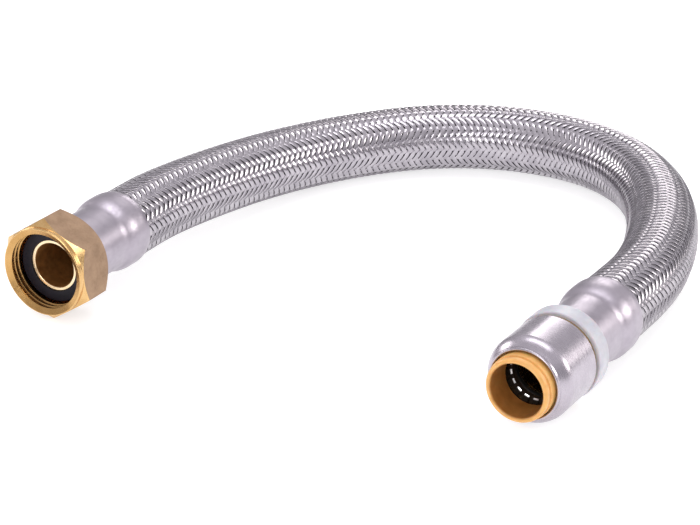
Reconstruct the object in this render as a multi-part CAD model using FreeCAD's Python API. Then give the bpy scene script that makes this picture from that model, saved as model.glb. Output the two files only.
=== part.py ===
"""Braided water supply line: 3/4 in swivel nut on one end, 1/2 in push-fit socket on the other.

Millimetres, +Z up. The origin is on the inlet axis, in the middle of the first thread crest inside
the nut's mouth, whose axis is X. The hose leaves it towards -X and turns round in a U, lying on a surface
at z = FLOOR_Z. The push-fit end opens towards +X as well, turned a little inwards. Its pieces are drawn
on the X axis too, and then moved to its place by to_outlet().
"""
import FreeCAD, Part
import math
import os

V = FreeCAD.Vector

# Resting surface and hose
HOSE_R = 11.6
BRAID_IN_R = 10.75
LINER_IN_R = 7.7
HOSE_LYING_Z = -5.0
FLOOR_Z = HOSE_LYING_Z - HOSE_R

# Ferrule and the fitting tail under it, the same at both ends
FERRULE_LEN = 26.5
FERRULE_WALL = 0.6
RIM_R = 11.9
CRIMP_R = 11.05
BULGE_R = 12.45
CRIMP_END = 13.3
SWELL_R = 11.8
SWELL_LEN = 5.5
NECK_R = 9.9
TAIL_R = 8.4
TAIL_LEN = 22.0
BARB_RISE = 0.4
BARB_PITCH = 5.0
BARB_COUNT = 3
CRIMPED_BRAID_IN_R = 9.9

# Swivel nut, 3/4-14 female thread
NUT_ACROSS_FLATS = 28.8
NUT_FRONT_X = 1.2
NUT_RIM_R = 14.3
NUT_RIM_REAR_X = -0.45
NUT_REAR_X = -13.5
NUT_TURN_DEG = 2.8
THREAD_MINOR_R = 12.15
THREAD_MAJOR_R = 13.25
THREAD_PITCH = 25.4 / 14
THREAD_CRESTS = 3
CREST_WIDTH = 0.5
SHOULDER_X = -10.8
SWIVEL_GAP = 0.05

# Inlet nipple and washer
NOSE_TIP_X = -5.1
NOSE_R = 8.4
NIPPLE_BORE_R = 7.2
WASHER_FRONT_X = -4.6
WASHER_REAR_X = -7.6
WASHER_R = 11.8
FLANGE_REAR_X = -10.5
FLANGE_R = 11.6
INLET_FERRULE_X = -14.0

# Push-fit end, for 15.9 mm pipe
PIPE_BORE_R = 8.1
WATERWAY_R = 7.0
PIPE_STOP_X = -25.6
GLAND_REAR_X = -18.4
GLAND_R = 10.5
BODY_FRONT_X = -12.6
BODY_R = 12.6
BODY_SHOULDER_R = 12.4
SHELL_R = 13.2
SHELL_REAR_X = -24.3
SHELL_DOME_X = -9.7
SHELL_LIP_X = -4.7
SHELL_LIP_R = 10.2
ISOLATOR_FRONT_X = -26.2
ISOLATOR_R = 13.6
OUTLET_FERRULE_X = -33.0
SEAL_R = 1.28
SEAL_RING_R = 9.2
SEAL_X = -16.9
PROTECTOR_FRONT_X = -14.3
CARRIER_REAR_X = -12.2
CARRIER_BORE_R = 10.9
COLLAR_FRONT_X = -0.2
COLLAR_RIM_R = 9.6
COLLAR_R = 9.85
COLLAR_FLANGE_R = 10.6
COLLAR_REAR_X = -9.9
TOOTH_COUNT = 18
TOOTH_TIP_R = 7.92
TOOTH_TIP_X = -13.9
TOOTH_SHARE = 0.5
GRAB_SHEET = 0.3
GRAB_RIM_R = 12.2
GRAB_ROOT_R = 9.8
GRAB_FRONT_X = CARRIER_REAR_X - SWIVEL_GAP

# Centreline of the free hose, from the inlet ferrule round to the outlet ferrule
ROUTE = [
    (-46.0, 0.0, 0.0),
    (-62.0, 0.0, 0.0),
    (-86.0, 2.5, -1.2),
    (-112.0, 7.0, -2.8),
    (-136.0, 14.6, -4.2),
    (-156.0, 25.4, -4.9),
    (-172.5, 39.6, -5.0),
    (-184.0, 57.2, -5.0),
    (-189.5, 77.5, -5.0),
    (-188.1, 98.7, -5.0),
    (-179.4, 118.1, -5.0),
    (-163.5, 134.4, -5.0),
    (-141.0, 147.3, -4.6),
    (-113.0, 157.0, -3.8),
    (-88.0, 161.6, -3.1),
    (-65.0, 160.8, -3.1),
]


def outline(points):
    """Closed face in the XZ plane from (x, r) corners; a pair of corners is an arc's middle and end."""
    edges = []
    here = points[0]
    for step in points[1:] + [points[0]]:
        start = V(here[0], 0, here[1])
        if isinstance(step[0], tuple):
            middle, here = step
            end = V(here[0], 0, here[1])
            edges.append(Part.Arc(start, V(middle[0], 0, middle[1]), end).toShape())
        else:
            here = step
            end = V(here[0], 0, here[1])
            if (end - start).Length > 1e-6:
                edges.append(Part.LineSegment(start, end).toShape())
    return Part.Face(Part.Wire(edges))


def turned(points):
    """Solid of revolution about the X axis."""
    return outline(points).revolve(V(0, 0, 0), V(1, 0, 0), 360)


def to_outlet(shape):
    """Moves a shape from the X axis to the push-fit end's axis, which carries on the route's last leg."""
    end_x = OUTLET_FERRULE_X - FERRULE_LEN - SWELL_LEN
    last_leg = V(*ROUTE[-1]) - V(*ROUTE[-2])
    shape.translate(V(-end_x, 0, 0))
    shape.rotate(V(0, 0, 0), V(0, 0, 1), math.degrees(math.atan2(last_leg.y, last_leg.x)))
    shape.translate(V(*ROUTE[-1]))
    return shape


def barbed_tail(front_x):
    """Outer corners of a fitting's tail, from its neck's end back to its tip."""
    corners = [(front_x - 1.0, NECK_R), (front_x - 1.0, TAIL_R)]
    for index in range(BARB_COUNT):
        barb_x = front_x - 4.0 - index * BARB_PITCH
        corners += [(barb_x, TAIL_R), (barb_x, TAIL_R + BARB_RISE), (barb_x - 3.5, TAIL_R)]
    corners += [(front_x - TAIL_LEN + 0.5, TAIL_R), (front_x - TAIL_LEN, TAIL_R - 0.4)]
    return corners


def ferrule(front_x):
    """Crimped sleeve: front rim, crimped stretch, hollow step, bulge and a rear lip on the braid."""
    rear = front_x - FERRULE_LEN
    step = front_x - CRIMP_END
    inner = CRIMP_R - FERRULE_WALL
    return turned([
        (front_x, NECK_R),
        (front_x, RIM_R - 0.6),
        ((front_x - 0.18, RIM_R - 0.18), (front_x - 0.6, RIM_R)),
        (front_x - 1.5, RIM_R),
        (front_x - 2.1, CRIMP_R),
        (step, CRIMP_R),
        ((step - 1.7, CRIMP_R + 0.15), (step - 3.1, CRIMP_R + 0.6)),
        ((step - 5.0, BULGE_R - 0.25), (step - 7.7, BULGE_R)),
        (step - 10.2, BULGE_R),
        ((rear + 1.1, BULGE_R - 0.15), (rear, SWELL_R + 0.2)),
        (rear, SWELL_R),
        (rear + 1.0, SWELL_R),
        (step - 10.2, BULGE_R - FERRULE_WALL),
        (step - 7.7, BULGE_R - FERRULE_WALL),
        (step - 3.1, CRIMP_R),
        (step, inner),
        (front_x - 0.7, inner),
        (front_x - 0.7, NECK_R),
    ])


def crimped_braid(front_x):
    """The braid's end inside a ferrule, and its slight swelling just behind it."""
    rear = front_x - FERRULE_LEN
    step = front_x - CRIMP_END
    crimped = CRIMP_R - FERRULE_WALL
    return turned([
        (front_x - 2.0, CRIMPED_BRAID_IN_R),
        (front_x - 2.0, crimped),
        (step, crimped),
        (step - 7.7, SWELL_R),
        (rear, SWELL_R),
        (rear - SWELL_LEN, HOSE_R),
        (rear - SWELL_LEN, BRAID_IN_R),
        (rear, SWELL_R - HOSE_R + BRAID_IN_R),
        (step - 7.7, SWELL_R - HOSE_R + BRAID_IN_R),
        (step, CRIMPED_BRAID_IN_R),
    ])


def crimped_liner(front_x):
    """The inner hose's end, stretched over a fitting's tail."""
    rear = front_x - FERRULE_LEN
    step = front_x - CRIMP_END
    return turned([
        (front_x - 2.0, TAIL_R),
        (front_x - 2.0, CRIMPED_BRAID_IN_R),
        (step, CRIMPED_BRAID_IN_R),
        (step - 7.7, SWELL_R - HOSE_R + BRAID_IN_R),
        (rear, SWELL_R - HOSE_R + BRAID_IN_R),
        (rear - SWELL_LEN, BRAID_IN_R),
        (rear - SWELL_LEN, LINER_IN_R),
        (front_x - TAIL_LEN - 2.0, LINER_IN_R),
        (front_x - TAIL_LEN, TAIL_R),
    ])


def route_path():
    """Straight runs joined by tangent arcs; returns the wire, its length and the arcs' radii."""
    corners = [V(*point) for point in ROUTE]
    edges = []
    radii = []
    here = corners[0]
    for before, corner, after in zip(corners, corners[1:], corners[2:]):
        back = (before - corner)
        ahead = (after - corner)
        reach = 0.45 * min(back.Length, ahead.Length)
        half_turn = (math.pi - back.getAngle(ahead)) / 2
        radius = reach / math.tan(half_turn)
        back.normalize()
        ahead.normalize()
        start = corner + back * reach
        end = corner + ahead * reach
        inward = (back + ahead).normalize()
        middle = corner + inward * (radius / math.cos(half_turn) - radius)
        edges.append(Part.LineSegment(here, start).toShape())
        edges.append(Part.Arc(start, middle, end).toShape())
        radii.append(radius)
        here = end
    edges.append(Part.LineSegment(here, corners[-1]).toShape())
    wire = Part.Wire(edges)
    return wire, wire.Length, radii


def swept(path, radius):
    """Round solid of one radius along the free hose's centreline."""
    circle = Part.Circle(V(*ROUTE[0]), V(-1, 0, 0), radius).toShape()
    return path.makePipeShell([Part.Wire([circle])], True, False)


def free_tube(path, outer_r, inner_r):
    return swept(path, outer_r).cut(swept(path, inner_r))


def hose_layer(path, outer_r, inner_r, crimped_end):
    """One layer of the hose: the free tube and its two ends inside the ferrules."""
    tube = free_tube(path, outer_r, inner_r)
    inlet_end = crimped_end(INLET_FERRULE_X)
    outlet_end = to_outlet(crimped_end(OUTLET_FERRULE_X))
    return tube.fuse([inlet_end, outlet_end]).removeSplitter()


def inlet_swivel_nut():
    """Hexagon with turned chamfers, bored for the washer, the nipple's flange and its neck."""
    corner_r = NUT_ACROSS_FLATS / math.sqrt(3)
    corners = []
    for index in range(7):
        angle = math.radians(90 + NUT_TURN_DEG + 60 * index)
        corners.append(V(NUT_REAR_X, corner_r * math.cos(angle), corner_r * math.sin(angle)))
    blank = Part.Face(Part.makePolygon(corners)).extrude(V(NUT_FRONT_X - NUT_REAR_X, 0, 0))
    envelope = turned([
        (NUT_FRONT_X, 0.0),
        (NUT_FRONT_X, NUT_RIM_R - 0.25),
        ((NUT_FRONT_X - 0.1, NUT_RIM_R - 0.1), (NUT_FRONT_X - 0.35, NUT_RIM_R)),
        (NUT_RIM_REAR_X, NUT_RIM_R),
        (NUT_RIM_REAR_X - 2.0, corner_r + 0.1),
        (NUT_REAR_X + 2.7, corner_r + 0.1),
        (NUT_REAR_X, 14.2),
        (NUT_REAR_X, 0.0),
    ])
    crest_corners = [
        (NUT_FRONT_X + 0.5, 0.0),
        (NUT_FRONT_X + 0.5, NUT_RIM_R - 0.4),
        (NUT_FRONT_X, NUT_RIM_R - 0.4),
    ]
    flank = (THREAD_PITCH - CREST_WIDTH) / 2 - 0.15
    for index in range(THREAD_CRESTS):
        crest_x = CREST_WIDTH / 2 - index * THREAD_PITCH
        if index:
            crest_corners.append((crest_x + flank, THREAD_MAJOR_R))
        crest_corners += [
            (crest_x, THREAD_MINOR_R),
            (crest_x - CREST_WIDTH, THREAD_MINOR_R),
            (crest_x - CREST_WIDTH - flank, THREAD_MAJOR_R),
        ]
    crest_corners += [
        (SHOULDER_X, THREAD_MAJOR_R),
        (SHOULDER_X, NECK_R + SWIVEL_GAP),
        (NUT_REAR_X - 0.1, NECK_R + SWIVEL_GAP),
        (NUT_REAR_X - 0.1, 0.0),
    ]
    return blank.common(envelope).cut(turned(crest_corners))


def inlet_washer():
    return turned([
        (WASHER_FRONT_X, NOSE_R),
        (WASHER_FRONT_X, WASHER_R - 0.4),
        ((WASHER_FRONT_X - 0.12, WASHER_R - 0.12), (WASHER_FRONT_X - 0.4, WASHER_R)),
        (WASHER_REAR_X, WASHER_R),
        (WASHER_REAR_X, NOSE_R),
    ])


def inlet_nipple():
    """Nose, flange that holds the nut, neck that the nut turns on, and barbed tail."""
    return turned([
        (NOSE_TIP_X - 0.2, NIPPLE_BORE_R),
        (NOSE_TIP_X, NIPPLE_BORE_R + 0.2),
        (NOSE_TIP_X, NOSE_R - 0.3),
        ((NOSE_TIP_X - 0.09, NOSE_R - 0.09), (NOSE_TIP_X - 0.3, NOSE_R)),
        (WASHER_REAR_X, NOSE_R),
        (WASHER_REAR_X, FLANGE_R),
        (FLANGE_REAR_X, FLANGE_R),
        (FLANGE_REAR_X, NECK_R),
    ] + barbed_tail(INLET_FERRULE_X) + [
        (INLET_FERRULE_X - TAIL_LEN, NIPPLE_BORE_R),
    ])


def push_fit_body():
    """Brass body: pipe socket and seal gland in front, shoulder, ring seat and barbed tail behind."""
    return turned([
        (BODY_FRONT_X, GLAND_R),
        (BODY_FRONT_X, BODY_R),
        (SHELL_REAR_X, BODY_R),
        (SHELL_REAR_X, BODY_SHOULDER_R),
        (ISOLATOR_FRONT_X, BODY_SHOULDER_R),
        (ISOLATOR_FRONT_X, GLAND_R),
        (OUTLET_FERRULE_X, GLAND_R),
        (OUTLET_FERRULE_X, NECK_R),
    ] + barbed_tail(OUTLET_FERRULE_X) + [
        (OUTLET_FERRULE_X - TAIL_LEN, WATERWAY_R),
        (PIPE_STOP_X, WATERWAY_R),
        (PIPE_STOP_X, PIPE_BORE_R),
        (GLAND_REAR_X, PIPE_BORE_R),
        (GLAND_REAR_X, GLAND_R),
    ])


def isolator_ring():
    edge = 1.2
    return turned([
        (ISOLATOR_FRONT_X, GLAND_R),
        (ISOLATOR_FRONT_X, ISOLATOR_R - 0.5),
        ((ISOLATOR_FRONT_X - 0.15, ISOLATOR_R - 0.15), (ISOLATOR_FRONT_X - 0.5, ISOLATOR_R)),
        (OUTLET_FERRULE_X + edge, ISOLATOR_R),
        ((OUTLET_FERRULE_X + 0.35, ISOLATOR_R - 0.35), (OUTLET_FERRULE_X, ISOLATOR_R - edge)),
        (OUTLET_FERRULE_X, GLAND_R),
    ])


def push_fit_shell():
    """Thin shell: rolled lip round the collar, domed front and a plain cylinder on the body."""
    wall = SHELL_R - BODY_R
    return turned([
        (SHELL_LIP_X - 0.5, SHELL_LIP_R),
        ((SHELL_LIP_X, SHELL_LIP_R + 0.45), (SHELL_LIP_X - 0.5, SHELL_LIP_R + 0.95)),
        (SHELL_LIP_X - 1.1, SHELL_LIP_R + 1.0),
        ((SHELL_DOME_X + 1.7, SHELL_R - 0.45), (SHELL_DOME_X, SHELL_R)),
        (SHELL_REAR_X, SHELL_R),
        (SHELL_REAR_X, BODY_R),
        (SHELL_DOME_X, BODY_R),
        ((SHELL_DOME_X + 1.6, BODY_R - 0.4), (SHELL_LIP_X - 1.8, SHELL_LIP_R + 1.0 - wall / 2)),
        (SHELL_LIP_X - 0.8, SHELL_LIP_R + 0.4),
        (SHELL_LIP_X - 0.8, SHELL_LIP_R),
    ])


def ring_carrier():
    """Plastic ring inside the shell's front: seats the grab ring and holds the collar in."""
    return turned([
        (CARRIER_REAR_X, CARRIER_BORE_R),
        (CARRIER_REAR_X, BODY_R - 0.1),
        (SHELL_DOME_X - 0.2, BODY_R - 0.1),
        (-7.6, 11.4),
        (-6.3, 10.6),
        (-5.8, 10.5),
        (-5.8, SHELL_LIP_R + 0.05),
        (-6.7, SHELL_LIP_R + 0.05),
        (-6.7, CARRIER_BORE_R),
    ])


def seal_protector():
    return turned([
        (PROTECTOR_FRONT_X, PIPE_BORE_R),
        (PROTECTOR_FRONT_X, GLAND_R),
        (SEAL_X + SEAL_R, GLAND_R),
        (SEAL_X + SEAL_R, PIPE_BORE_R),
    ])


def sealing_o_ring():
    return Part.makeTorus(SEAL_RING_R, SEAL_R, V(SEAL_X, 0, 0), V(1, 0, 0))


def grab_ring():
    """Flat rim with slanted teeth that lean inwards, towards the pipe stop."""
    rear_x = GRAB_FRONT_X - GRAB_SHEET
    dished = turned([
        (GRAB_FRONT_X, GRAB_RIM_R),
        (rear_x, GRAB_RIM_R),
        (rear_x, GRAB_ROOT_R),
        (TOOTH_TIP_X, TOOTH_TIP_R),
        (TOOTH_TIP_X + GRAB_SHEET, TOOTH_TIP_R),
        (GRAB_FRONT_X, GRAB_ROOT_R),
    ])
    gap_width = 2 * math.pi * TOOTH_TIP_R / TOOTH_COUNT * (1 - TOOTH_SHARE)
    gap = Part.makeBox(4, gap_width, GRAB_ROOT_R - 0.2, V(TOOTH_TIP_X - 1, -gap_width / 2, 0))
    gaps = []
    for index in range(TOOTH_COUNT):
        turned_gap = gap.copy()
        turned_gap.rotate(V(0, 0, 0), V(1, 0, 0), (index + 0.5) * 360 / TOOTH_COUNT)
        gaps.append(turned_gap)
    return dished.cut(gaps)


def release_collar():
    """Rounded rim in front, groove, sliding barrel, flange that stays in the carrier, and nose."""
    return turned([
        (COLLAR_FRONT_X - 1.0, PIPE_BORE_R),
        ((COLLAR_FRONT_X - 0.25, PIPE_BORE_R + 0.25), (COLLAR_FRONT_X, PIPE_BORE_R + 0.75)),
        ((COLLAR_FRONT_X - 0.25, COLLAR_RIM_R - 0.25), (COLLAR_FRONT_X - 0.9, COLLAR_RIM_R)),
        (-2.0, COLLAR_RIM_R),
        (-2.2, COLLAR_RIM_R - 0.3),
        (-2.5, COLLAR_RIM_R - 0.3),
        (-2.7, COLLAR_R),
        (-7.0, COLLAR_R),
        (-7.0, COLLAR_FLANGE_R),
        (-9.0, COLLAR_FLANGE_R),
        (-9.0, COLLAR_RIM_R),
        (COLLAR_REAR_X, COLLAR_RIM_R - 0.4),
        (COLLAR_REAR_X, PIPE_BORE_R),
    ])


def main():
    os.makedirs("parts", exist_ok=True)
    path, length, radii = route_path()
    print("free hose %.1f mm, arc radii %s" % (length, ", ".join("%.0f" % r for r in radii)))
    for outer_r, inner_r in ((HOSE_R, BRAID_IN_R), (BRAID_IN_R, LINER_IN_R)):
        volume = free_tube(path, outer_r, inner_r).Volume
        expected = math.pi * (outer_r ** 2 - inner_r ** 2) * length
        print("tube volume / (section x length) = %.4f" % (volume / expected))
    shapes = {
        "inlet_swivel_nut": inlet_swivel_nut(),
        "inlet_washer": inlet_washer(),
        "inlet_nipple": inlet_nipple(),
        "inlet_ferrule": ferrule(INLET_FERRULE_X),
        "hose_liner": hose_layer(path, BRAID_IN_R, LINER_IN_R, crimped_liner),
        "hose_braid": hose_layer(path, HOSE_R, BRAID_IN_R, crimped_braid),
        "outlet_ferrule": to_outlet(ferrule(OUTLET_FERRULE_X)),
        "push_fit_body": to_outlet(push_fit_body()),
        "isolator_ring": to_outlet(isolator_ring()),
        "push_fit_shell": to_outlet(push_fit_shell()),
        "ring_carrier": to_outlet(ring_carrier()),
        "seal_protector": to_outlet(seal_protector()),
        "sealing_o_ring": to_outlet(sealing_o_ring()),
        "grab_ring": to_outlet(grab_ring()),
        "release_collar": to_outlet(release_collar()),
    }
    for name, shape in shapes.items():
        print("%-18s %9.1f mm3  valid %s  solids %d" % (
            name, shape.Volume, shape.isValid(), len(shape.Solids)))
        shape.exportStep("parts/%s.step" % name)


main()
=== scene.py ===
"""Looks of the braided supply line: woven hose, threaded nut, ferrules and push-fit end."""
import math

import bpy
import numpy as np
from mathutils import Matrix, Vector


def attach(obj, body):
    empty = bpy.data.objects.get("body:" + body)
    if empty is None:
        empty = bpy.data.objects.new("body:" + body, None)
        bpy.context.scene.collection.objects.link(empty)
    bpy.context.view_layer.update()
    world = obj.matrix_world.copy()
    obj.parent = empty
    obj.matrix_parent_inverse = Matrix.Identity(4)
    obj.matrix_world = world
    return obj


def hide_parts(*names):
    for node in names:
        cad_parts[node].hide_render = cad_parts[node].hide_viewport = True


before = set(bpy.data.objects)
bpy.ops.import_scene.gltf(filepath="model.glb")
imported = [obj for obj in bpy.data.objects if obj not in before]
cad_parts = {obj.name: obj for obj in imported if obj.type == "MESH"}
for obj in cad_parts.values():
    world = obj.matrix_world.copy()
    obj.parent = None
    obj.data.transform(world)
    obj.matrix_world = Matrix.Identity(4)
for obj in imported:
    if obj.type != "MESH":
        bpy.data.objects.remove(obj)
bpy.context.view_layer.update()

# All sizes in metres, in the row frame.

# Camera: where it stands, where it looks, and its lens
CAMERA_AT = (0.49987, 0.37974, 0.27134)
CAMERA_LOOKS = (-0.8055, -0.4400, -0.3969)
CAMERA_LENS_MM = 113.7

# Lights: name, place, width and height, watts and colour. All face LIGHTS_AIM.
LIGHTS_AIM = (-0.09, 0.08, 0.0)
LIGHTS = [
    ("softbox_key", (0.75, 0.28, 0.46), (0.42, 0.42), 2.2, (1.0, 1.0, 1.0)),
    ("softbox_rear", (-0.62, 0.95, 0.34), (0.5, 0.34), 3.2, (1.0, 0.97, 0.92)),
    ("softbox_top", (-0.25, 0.1, 0.95), (0.9, 0.3), 2.6, (1.0, 1.0, 1.0)),
    ("softbox_left", (-0.10, -0.90, 0.42), (0.45, 0.35), 2.2, (1.0, 0.98, 0.95)),
    ("softbox_back", (-1.05, -0.12, 0.46), (0.45, 0.30), 1.5, (1.0, 0.98, 0.95)),
]

# Surroundings: grey at the horizon and near white from SKY_TOP (the direction's Z) upwards
SKY_HORIZON = (0.50, 0.49, 0.51)
SKY_ABOVE = (0.92, 0.90, 0.93)
SKY_TOP = 0.8
SKY_STRENGTH = 0.9

# White floor that glows a little, so that it stays white in the part's shade
FLOOR_Z = -0.0167
FLOOR_HALF = 3.0
FLOOR_GREY = 0.62
FLOOR_GREY_SPREAD = 0.01
FLOOR_GLOW = 0.62

# Hose: the route's points are those of the CAD source, with the two ferrules' rims added at its ends
ROUTE = [
    (-0.0405, 0.0000, 0.0000),
    (-0.0460, 0.0000, 0.0000),
    (-0.0620, 0.0000, 0.0000),
    (-0.0860, 0.0025, -0.0012),
    (-0.1120, 0.0070, -0.0028),
    (-0.1360, 0.0146, -0.0042),
    (-0.1560, 0.0254, -0.0049),
    (-0.1725, 0.0396, -0.0050),
    (-0.1840, 0.0572, -0.0050),
    (-0.1895, 0.0775, -0.0050),
    (-0.1881, 0.0987, -0.0050),
    (-0.1794, 0.1181, -0.0050),
    (-0.1635, 0.1344, -0.0050),
    (-0.1410, 0.1473, -0.0046),
    (-0.1130, 0.1570, -0.0038),
    (-0.0880, 0.1616, -0.0031),
    (-0.0650, 0.1608, -0.0031),
    (-0.0595, 0.1606, -0.0031),
]
HOSE_R = 0.0116
BRAID_THICKNESS = 0.0008
LINER_BORE_R = 0.0077
LINER_SIDES = 64

# At each ferrule: how much the hose swells and over what length, and how far it and its centreline go in
RIM_SWELL = 0.00018
SWELL_LENGTH = 0.0055
HIDDEN_IN_FERRULE = 0.006
RUN_ON = 2 * HIDDEN_IN_FERRULE

# Axes of the two ends, each as a point and a direction
INLET_AXIS = ((0.0, 0.0, 0.0), (1.0, 0.0, 0.0))
OUTLET_AXIS = ((-0.0650, 0.1608, -0.0031), (0.9993956, -0.0347616, 0.0))

# Distances from those axes between which a piece's inner look gives way to its outer one. The inner looks of
# the nut's thread, the nipple's bore and the collar's bore are painted shade; on the grab ring the inner look
# is a painted highlight on the teeth and the outer one is painted shade
NUT_THREAD_TO_MOUTH = (0.01385, 0.01395)
NUT_RIM_TO_FLATS = (0.01433, 0.01438)
NIPPLE_BORE_TO_NOSE = (0.00724, 0.00730)
TOOTH_TIP_TO_SHEET = (0.00812, 0.00842)
COLLAR_BORE_TO_FACE = (0.00812, 0.00860)

# Nut: the size of the normal's X part where the flats' look starts, and where it is full
FLAT_NORMAL_X = (0.35, 0.15)

# Braid: bands wound each way, and their angle from the hose's axis
CARRIERS = 18
BRAID_ANGLE = math.radians(57)
BANDS_PER_PIECE = 6
SAMPLES_PER_CROSSING = 3

# One band: its wires, how far its edges are below its middle, and how far it rises and dips in the weave
WIRE_D = 0.00026
WIRES_PER_BAND = 7
GROOVE_SHARE = 0.2
BAND_WIDTH = 0.00184
BAND_CROWN = 0.00016
BAND_LIFT = 0.00021
WEAVE_STEEPNESS = 1.2


# ---------------------------------------------------------------- camera and stage

def make_camera():
    data = bpy.data.cameras.new("camera")
    data.lens = CAMERA_LENS_MM
    data.sensor_width = 36.0
    data.clip_start = 0.01
    data.clip_end = 50.0
    camera = bpy.data.objects.new("camera", data)
    camera.location = CAMERA_AT
    camera.rotation_euler = Vector(CAMERA_LOOKS).to_track_quat("-Z", "Y").to_euler()
    bpy.context.scene.collection.objects.link(camera)
    bpy.context.scene.camera = camera


def area_light(name, at, size, power, colour):
    data = bpy.data.lights.new(name, "AREA")
    data.shape = "RECTANGLE"
    data.size, data.size_y = size
    data.energy = power
    data.color = colour
    light = bpy.data.objects.new(name, data)
    light.location = at
    light.rotation_euler = (Vector(LIGHTS_AIM) - Vector(at)).to_track_quat("-Z", "Y").to_euler()
    bpy.context.scene.collection.objects.link(light)


def make_surroundings():
    world = bpy.data.worlds.new("studio")
    world.use_nodes = True
    tree = world.node_tree
    direction = tree.nodes.new("ShaderNodeTexCoord")
    height = tree.nodes.new("ShaderNodeSeparateXYZ")
    tree.links.new(direction.outputs["Generated"], height.inputs["Vector"])
    sky = ramp(tree, height.outputs["Z"], SKY_HORIZON, SKY_ABOVE, (0.0, SKY_TOP))
    tree.links.new(sky, tree.nodes["Background"].inputs["Color"])
    tree.nodes["Background"].inputs["Strength"].default_value = SKY_STRENGTH
    bpy.context.scene.world = world
    bpy.context.scene.view_settings.view_transform = "Standard"


def make_floor():
    corners = ((-1, -1), (1, -1), (1, 1), (-1, 1))
    verts = [(x * FLOOR_HALF, y * FLOOR_HALF, FLOOR_Z) for x, y in corners]
    mesh = bpy.data.meshes.new("floor")
    mesh.from_pydata(verts, [], [(0, 1, 2, 3)])
    floor = bpy.data.objects.new("floor", mesh)
    bpy.context.scene.collection.objects.link(floor)
    floor.data.materials.append(floor_material())


# ---------------------------------------------------------------- materials

def shader(name, colour, metallic, roughness, **more):
    """New material, with more inputs by name; returns it with its node tree and its Principled node."""
    material = bpy.data.materials.new(name)
    material.use_nodes = True
    tree = material.node_tree
    principled = tree.nodes["Principled BSDF"]
    principled.inputs["Base Color"].default_value = (*colour, 1.0)
    principled.inputs["Metallic"].default_value = metallic
    principled.inputs["Roughness"].default_value = roughness
    for socket, value in more.items():
        principled.inputs[socket.replace("_", " ")].default_value = value
    return material, tree, principled


def noise(tree, scale, detail=3.0, stretch=(1.0, 1.0, 1.0)):
    """Object-space noise, its coordinates stretched by the given factors."""
    coordinates = tree.nodes.new("ShaderNodeTexCoord")
    mapping = tree.nodes.new("ShaderNodeMapping")
    mapping.inputs["Scale"].default_value = stretch
    texture = tree.nodes.new("ShaderNodeTexNoise")
    texture.inputs["Scale"].default_value = scale
    texture.inputs["Detail"].default_value = detail
    tree.links.new(coordinates.outputs["Object"], mapping.inputs["Vector"])
    tree.links.new(mapping.outputs["Vector"], texture.inputs["Vector"])
    return texture.outputs["Fac"]


def ramp(tree, fac, low, high, ends=(0.3, 0.7)):
    """Maps fac between the two ends onto colours or greys from low to high."""
    node = tree.nodes.new("ShaderNodeValToRGB")
    for element, position, colour in zip(node.color_ramp.elements, ends, (low, high)):
        element.position = position
        element.color = (*colour, 1.0) if isinstance(colour, tuple) else (colour, colour, colour, 1.0)
    tree.links.new(fac, node.inputs["Fac"])
    return node.outputs["Color"]


def bump(tree, principled, height, strength, distance):
    """Links a height to the shader's normal."""
    node = tree.nodes.new("ShaderNodeBump")
    node.inputs["Strength"].default_value = strength
    node.inputs["Distance"].default_value = distance
    tree.links.new(height, node.inputs["Height"])
    tree.links.new(node.outputs["Normal"], principled.inputs["Normal"])


def between(tree, value, start, end):
    """0 where value is at start or before it, 1 where it is at end or past it."""
    node = tree.nodes.new("ShaderNodeMapRange")
    node.inputs["From Min"].default_value = start
    node.inputs["From Max"].default_value = end
    tree.links.new(value, node.inputs["Value"])
    return node.outputs["Result"]


def blend(tree, fac, low, high):
    """The colour low where fac is 0, and high where it is 1."""
    node = tree.nodes.new("ShaderNodeMix")
    node.data_type = "RGBA"
    tree.links.new(fac, node.inputs[0])
    tree.links.new(low, node.inputs[6])
    tree.links.new(high, node.inputs[7])
    return node.outputs[2]


def two_looks(tree, principled, fac, inner, outer, grain, inner_roughness, outer_roughness):
    """Links colour and roughness: the inner ones where fac is 0, and the outer ones where it is 1."""
    tree.links.new(blend(tree, fac, inner, outer), principled.inputs["Base Color"])
    low = ramp(tree, grain, *inner_roughness)
    high = ramp(tree, grain, *outer_roughness)
    tree.links.new(blend(tree, fac, low, high), principled.inputs["Roughness"])


def distance_from(tree, axis):
    """Distance of the shaded point from an axis, in object space."""
    coordinates = tree.nodes.new("ShaderNodeTexCoord")
    offset = tree.nodes.new("ShaderNodeVectorMath")
    offset.operation = "SUBTRACT"
    offset.inputs[1].default_value = axis[0]
    across = tree.nodes.new("ShaderNodeVectorMath")
    across.operation = "CROSS_PRODUCT"
    across.inputs[1].default_value = axis[1]
    length = tree.nodes.new("ShaderNodeVectorMath")
    length.operation = "LENGTH"
    tree.links.new(coordinates.outputs["Object"], offset.inputs[0])
    tree.links.new(offset.outputs[0], across.inputs[0])
    tree.links.new(across.outputs[0], length.inputs[0])
    return length.outputs["Value"]


def facing_sideways(tree):
    """1 on surfaces parallel to the X axis, and 0 on the chamfers and end faces."""
    coordinates = tree.nodes.new("ShaderNodeTexCoord")
    parts = tree.nodes.new("ShaderNodeSeparateXYZ")
    size = tree.nodes.new("ShaderNodeMath")
    size.operation = "ABSOLUTE"
    tree.links.new(coordinates.outputs["Normal"], parts.inputs["Vector"])
    tree.links.new(parts.outputs["X"], size.inputs[0])
    return between(tree, size.outputs[0], *FLAT_NORMAL_X)


def times(tree, first, second):
    """Product of two values."""
    node = tree.nodes.new("ShaderNodeMath")
    node.operation = "MULTIPLY"
    tree.links.new(first, node.inputs[0])
    tree.links.new(second, node.inputs[1])
    return node.outputs[0]


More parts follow.
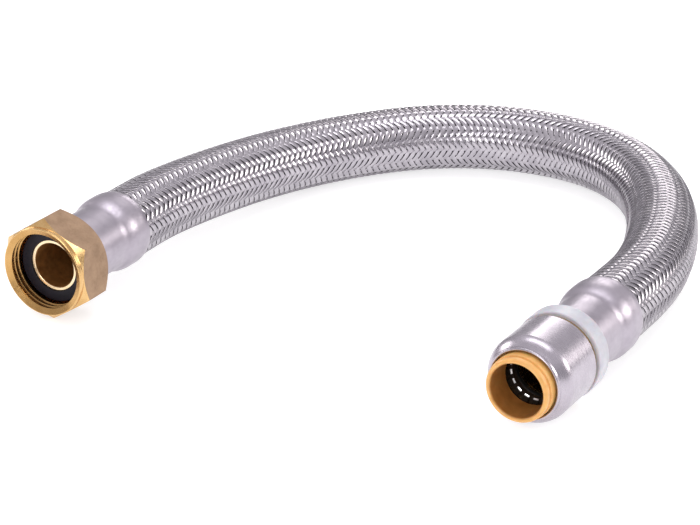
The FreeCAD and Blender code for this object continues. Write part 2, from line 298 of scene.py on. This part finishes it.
def worn_metal(name, dark, light, roughness, grain, stretch=(1.0, 1.0, 1.0), grain_bump=0.00002):
    """Metal with slight tint and roughness variation and a fine grain."""
    material, tree, principled = shader(name, light, 1.0, roughness[1])
    broad = noise(tree, 220.0, 3.0)
    fine = noise(tree, grain, 2.0, stretch)
    tree.links.new(ramp(tree, broad, dark, light), principled.inputs["Base Color"])
    tree.links.new(ramp(tree, fine, roughness[0], roughness[1]), principled.inputs["Roughness"])
    bump(tree, principled, fine, 0.35, grain_bump)
    return material


def nut_material():
    """Dull hexagon flats; bright turned chamfers, rim, thread and end faces, with painted shade on the thread
    and lead-in inside: darker and more orange than the chamfers.
    """
    material, tree, principled = shader("nut_brass", (0.3, 0.22, 0.14), 1.0, 0.4)
    radius = distance_from(tree, INLET_AXIS)
    flat = times(tree, between(tree, radius, *NUT_RIM_TO_FLATS), facing_sideways(tree))
    cloud = noise(tree, 260.0, 4.0)
    darker_part = ramp(tree, cloud, (0.29, 0.19, 0.122), (0.39, 0.262, 0.172))
    # painted shade: the thread and lead-in inside the nut, darker and more orange than the turned chamfers
    thread = ramp(tree, cloud, (0.50, 0.285, 0.10), (0.60, 0.36, 0.14))
    chamfer = ramp(tree, cloud, (0.62, 0.38, 0.155), (0.74, 0.49, 0.225))
    bright = blend(tree, between(tree, radius, *NUT_THREAD_TO_MOUTH), thread, chamfer)
    fine = noise(tree, 1400.0, 2.0)
    two_looks(tree, principled, flat, bright, darker_part, fine, (0.2, 0.3), (0.38, 0.55))
    bump(tree, principled, fine, 0.12, 0.00001)
    return material


def nipple_material():
    """Bright turned brass outside, with painted shade in the bore, which is a darker brown."""
    material, tree, principled = shader("nipple_brass", (0.85, 0.62, 0.34), 1.0, 0.2)
    radius = distance_from(tree, INLET_AXIS)
    outside = between(tree, radius, *NIPPLE_BORE_TO_NOSE)
    cloud = noise(tree, 500.0, 4.0)
    # painted shade: the bore is a darker brown than the turned rim
    bore = ramp(tree, cloud, (0.36, 0.17, 0.05), (0.52, 0.27, 0.09))
    rim = ramp(tree, cloud, (0.86, 0.66, 0.40), (0.94, 0.76, 0.52))
    turning = noise(tree, 2500.0, 2.0, (4.0, 0.5, 0.5))
    two_looks(tree, principled, outside, bore, rim, turning, (0.6, 0.75), (0.18, 0.3))
    return material


def spring_material():
    """Grab ring: a painted highlight, near white, at the tooth tips, and painted shade, nearly black, on the
    leaned sheet behind them.
    """
    material, tree, principled = shader("spring_steel", (0.5, 0.5, 0.52), 1.0, 0.25)
    radius = distance_from(tree, OUTLET_AXIS)
    sheet = between(tree, radius, *TOOTH_TIP_TO_SHEET)
    cloud = noise(tree, 900.0, 3.0)
    # painted highlight: the tooth tips near white
    tips = ramp(tree, cloud, (0.78, 0.78, 0.80), (0.9, 0.9, 0.9))
    # painted shade: the leaned sheet behind the teeth nearly black
    darker_part = ramp(tree, cloud, (0.016, 0.012, 0.009), (0.03, 0.022, 0.016))
    fine = noise(tree, 2500.0, 2.0)
    two_looks(tree, principled, sheet, tips, darker_part, fine, (0.2, 0.3), (0.55, 0.7))
    return material


def collar_material():
    """Tan plastic, darker in the bore as painted shade."""
    material, tree, principled = shader("tan_plastic", (0.6, 0.3, 0.08), 0.0, 0.32,
                                        Subsurface_Weight=0.2, Subsurface_Scale=0.0015)
    radius = distance_from(tree, OUTLET_AXIS)
    outside = between(tree, radius, *COLLAR_BORE_TO_FACE)
    cloud = noise(tree, 400.0, 3.0)
    # painted shade: the bore darker brown than the tan front face
    bore = ramp(tree, cloud, (0.34, 0.14, 0.03), (0.44, 0.19, 0.05))
    front = ramp(tree, cloud, (0.68, 0.36, 0.10), (0.80, 0.45, 0.15))
    tree.links.new(blend(tree, outside, bore, front), principled.inputs["Base Color"])
    bump(tree, principled, noise(tree, 2500.0, 2.0), 0.15, 0.00002)
    return material


def floor_material():
    """Nearly even white."""
    material, tree, principled = shader("floor_white", (FLOOR_GREY, FLOOR_GREY, FLOOR_GREY), 0.0, 0.8,
                                        Emission_Color=(1.0, 1.0, 1.0, 1.0), Emission_Strength=FLOOR_GLOW)
    grey = ramp(tree, noise(tree, 3.0), FLOOR_GREY - FLOOR_GREY_SPREAD, FLOOR_GREY + FLOOR_GREY_SPREAD)
    tree.links.new(grey, principled.inputs["Base Color"])
    return material


def plain_plastic(name, dark, light, roughness, **more):
    """Plastic or rubber with slight tint variation and a fine grain."""
    material, tree, principled = shader(name, light, 0.0, roughness, **more)
    cloud = noise(tree, 400.0, 3.0)
    tree.links.new(ramp(tree, cloud, dark, light), principled.inputs["Base Color"])
    bump(tree, principled, noise(tree, 2500.0, 2.0), 0.15, 0.00002)
    return material


def make_materials():
    return {
        "braid": worn_metal("braid_wire", (0.40, 0.375, 0.415), (0.54, 0.51, 0.55), (0.17, 0.28), 3000.0),
        "ferrule": worn_metal("ferrule_steel", (0.38, 0.345, 0.397), (0.45, 0.41, 0.467), (0.32, 0.44), 900.0,
                              (0.6, 1.0, 1.0), 0.000006),
        "shell": worn_metal("shell_steel", (0.42, 0.385, 0.435), (0.49, 0.45, 0.505), (0.24, 0.3), 1500.0,
                            (3.0, 0.4, 0.4), 0.0000015),
        "nut": nut_material(),
        "nipple": nipple_material(),
        "body": worn_metal("turned_brass", (0.50, 0.33, 0.15), (0.66, 0.46, 0.22), (0.18, 0.3), 2500.0,
                           (4.0, 0.5, 0.5)),
        "spring": spring_material(),
        "washer": plain_plastic("washer_rubber", (0.006, 0.005, 0.010), (0.011, 0.009, 0.017), 0.55,
                                Specular_IOR_Level=0.3),
        "liner": plain_plastic("liner_rubber", (0.010, 0.010, 0.012), (0.02, 0.02, 0.022), 0.6),
        "seal": plain_plastic("seal_rubber", (0.008, 0.008, 0.008), (0.014, 0.014, 0.014), 0.4),
        "white": plain_plastic("white_plastic", (0.47, 0.47, 0.52), (0.55, 0.55, 0.60), 0.35,
                               Subsurface_Weight=0.35, Subsurface_Scale=0.002),
        "tan": collar_material(),
        "carrier": plain_plastic("carrier_plastic", (0.030, 0.018, 0.012), (0.045, 0.028, 0.018), 0.5),
    }


NODE_MATERIALS = {
    "inlet_swivel_nut": "nut",
    "inlet_washer": "washer",
    "inlet_nipple": "nipple",
    "inlet_ferrule": "ferrule",
    "outlet_ferrule": "ferrule",
    "push_fit_body": "body",
    "isolator_ring": "white",
    "push_fit_shell": "shell",
    "ring_carrier": "carrier",
    "seal_protector": "carrier",
    "sealing_o_ring": "seal",
    "grab_ring": "spring",
    "release_collar": "tan",
}


# ---------------------------------------------------------------- mesh helpers

def mesh_object(name, verts, quads, material):
    """Smooth-shaded object from vertex positions and quads."""
    quads = np.asarray(quads, np.int32)
    mesh = bpy.data.meshes.new(name)
    mesh.vertices.add(len(verts))
    mesh.vertices.foreach_set("co", np.asarray(verts, np.float32).ravel())
    mesh.loops.add(quads.size)
    mesh.loops.foreach_set("vertex_index", quads.ravel())
    mesh.polygons.add(len(quads))
    mesh.polygons.foreach_set("loop_start", np.arange(len(quads), dtype=np.int32) * 4)
    mesh.polygons.foreach_set("loop_total", np.full(len(quads), 4, np.int32))
    mesh.polygons.foreach_set("use_smooth", np.full(len(quads), True))
    mesh.update(calc_edges=True)
    mesh.materials.append(material)
    made = bpy.data.objects.new(name, mesh)
    bpy.context.scene.collection.objects.link(made)
    return made


# ---------------------------------------------------------------- hose

def route_line():
    """Points along the route's NURBS spline."""
    curve = bpy.data.curves.new("route", "CURVE")
    curve.dimensions = "3D"
    curve.resolution_u = 24
    spline = curve.splines.new("NURBS")
    spline.points.add(len(ROUTE) - 1)
    for point, place in zip(spline.points, ROUTE):
        point.co = (*place, 1.0)
    spline.order_u = 3
    spline.use_endpoint_u = True
    guide = bpy.data.objects.new("route", curve)
    mesh = bpy.data.meshes.new_from_object(guide)
    line = np.array([v.co for v in mesh.vertices], float)
    bpy.data.objects.remove(guide)
    bpy.data.meshes.remove(mesh)
    return line


class Centreline:
    """The hose's centreline by length, with a frame that doesn't twist; it runs on straight past its ends."""

    def __init__(self, line):
        step = np.linalg.norm(np.diff(line, axis=0), axis=1)
        keep = np.concatenate([[True], step > 1e-9])
        line = line[keep]
        step = np.linalg.norm(np.diff(line, axis=0), axis=1)
        first = line[0] - (line[1] - line[0]) / step[0] * RUN_ON
        last = line[-1] + (line[-1] - line[-2]) / step[-1] * RUN_ON
        self.line = np.vstack([first, line, last])
        step = np.linalg.norm(np.diff(self.line, axis=0), axis=1)
        self.at = np.concatenate([[0.0], np.cumsum(step)]) - RUN_ON
        self.length = self.at[-1] - RUN_ON
        tangent = np.gradient(self.line, self.at, axis=0)
        self.tangent = tangent / np.linalg.norm(tangent, axis=1)[:, None]
        side = [np.array([0.0, 0.0, 1.0])]
        for t in self.tangent[1:]:
            turned = side[-1] - t * (side[-1] @ t)
            side.append(turned / np.linalg.norm(turned))
        self.up = np.array(side)
        self.side = np.cross(self.tangent, self.up)

    def _read(self, table, s):
        """A table's rows at length s."""
        return np.stack([np.interp(s, self.at, table[:, k]) for k in range(3)], axis=-1)

    def place(self, s, angle, radius):
        """Points at length s, angle round the axis and distance from it."""
        centre = self._read(self.line, s)
        up = self._read(self.up, s)
        side = self._read(self.side, s)
        return centre + radius[..., None] * (np.cos(angle)[..., None] * up + np.sin(angle)[..., None] * side)


def hose_radius(line, s):
    """Outer radius of the hose at length s: a little more at the ferrules' rims."""
    full = line.length
    lengths = [-HIDDEN_IN_FERRULE, 0.0, SWELL_LENGTH, full - SWELL_LENGTH, full, full + HIDDEN_IN_FERRULE]
    swells = [0.0, RIM_SWELL, 0.0, 0.0, RIM_SWELL, 0.0]
    return HOSE_R + np.interp(s, lengths, swells)


def weave_height(crossings):
    """1 where a band is on top, -1 where it is underneath: over two crossings, under two."""
    return np.clip(WEAVE_STEEPNESS * np.cos(math.pi / 2 * (crossings - 0.5)), -1.0, 1.0)


def band_section():
    """Offsets across a band and heights above its middle: one rib for each wire, edges slightly down."""
    count = 2 * WIRES_PER_BAND + 1
    across = np.linspace(-0.5, 0.5, count)
    rib = np.where(np.arange(count) % 2 == 1, WIRE_D / 2, WIRE_D * GROOVE_SHARE)
    crown = -BAND_CROWN * (2 * across) ** 2
    return across * BAND_WIDTH, rib + crown


def band(line, index, hand):
    """Vertices and quads of one closed band. hand is 1 or -1, the way it winds."""
    twist = math.tan(BRAID_ANGLE) / HOSE_R
    crossing = math.pi / (CARRIERS * twist)
    start, end = -HIDDEN_IN_FERRULE, line.length + HIDDEN_IN_FERRULE
    steps = np.arange(math.ceil(start / crossing), math.floor(end / crossing),
                      1.0 / SAMPLES_PER_CROSSING)
    across, rise = band_section()
    along = steps[:, None] * crossing - np.sin(BRAID_ANGLE) * across[None, :]
    angle = (hand * 2 * math.pi * index / CARRIERS + twist * steps[:, None] * crossing
             + np.cos(BRAID_ANGLE) * across[None, :] / HOSE_R)
    height = weave_height(2 * index + steps) if hand > 0 else -weave_height(2 * index - steps)
    top = hose_radius(line, along) - BAND_LIFT - WIRE_D / 2
    points = line.place(along, hand * angle, top + height[:, None] * BAND_LIFT + rise[None, :])
    rows, columns = along.shape
    corner = np.arange(rows * columns).reshape(rows, columns)
    following = np.roll(corner, -1, axis=1)
    quads = np.stack([corner[:-1], following[:-1], following[1:], corner[1:]], axis=-1).reshape(-1, 4)
    if hand < 0:
        quads = quads[:, ::-1]
    return points.reshape(-1, 3), quads


def braid_pieces(line, material):
    """The whole braid, as objects of BANDS_PER_PIECE bands each."""
    pieces = []
    for hand, name in ((1, "braid_right"), (-1, "braid_left")):
        for first in range(0, CARRIERS, BANDS_PER_PIECE):
            verts, faces, count = [], [], 0
            for index in range(first, first + BANDS_PER_PIECE):
                points, quads = band(line, index, hand)
                verts.append(points)
                faces.append(quads + count)
                count += len(points)
            piece = mesh_object("%s_%d" % (name, first // BANDS_PER_PIECE + 1),
                                np.concatenate(verts), np.concatenate(faces), material)
            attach(piece, "connector")
            pieces.append(piece)
    return pieces


def liner_tube(line, material):
    """The inner hose between the ferrules, with its bore."""
    lengths = np.concatenate([[-HIDDEN_IN_FERRULE], line.at[1:-1], [line.length + HIDDEN_IN_FERRULE]])
    angles = np.linspace(0, 2 * math.pi, LINER_SIDES, endpoint=False)
    lengths, angles = np.broadcast_arrays(lengths[:, None], angles[None, :])
    outer = line.place(lengths, angles, hose_radius(line, lengths) - BRAID_THICKNESS)
    inner = line.place(lengths, angles, np.full(angles.shape, LINER_BORE_R))
    rings = np.concatenate([outer, inner[::-1]])
    corner = np.arange(rings.shape[0] * LINER_SIDES).reshape(-1, LINER_SIDES)
    following = np.roll(corner, -1, axis=1)
    below = np.roll(corner, -1, axis=0)
    below_following = np.roll(following, -1, axis=0)
    quads = np.stack([corner, following, below_following, below], axis=-1).reshape(-1, 4)
    return mesh_object("hose_liner_tube", rings.reshape(-1, 3), quads, material)


def make_hose(materials):
    """Liner and braid, in place of the two plain CAD tubes."""
    line = Centreline(route_line())
    liner = liner_tube(line, materials["liner"])
    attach(liner, "connector")
    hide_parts("hose_liner")
    bands = braid_pieces(line, materials["braid"])
    for piece in bands:
        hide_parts("hose_braid")


# ---------------------------------------------------------------- put together

def paint_cad_nodes(materials):
    for node, look in NODE_MATERIALS.items():
        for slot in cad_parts[node].material_slots:
            slot.material = materials[look]


make_camera()
materials = make_materials()
make_hose(materials)
paint_cad_nodes(materials)
make_floor()
for name, place, size, power, colour in LIGHTS:
    area_light(name, place, size, power, colour)
make_surroundings()
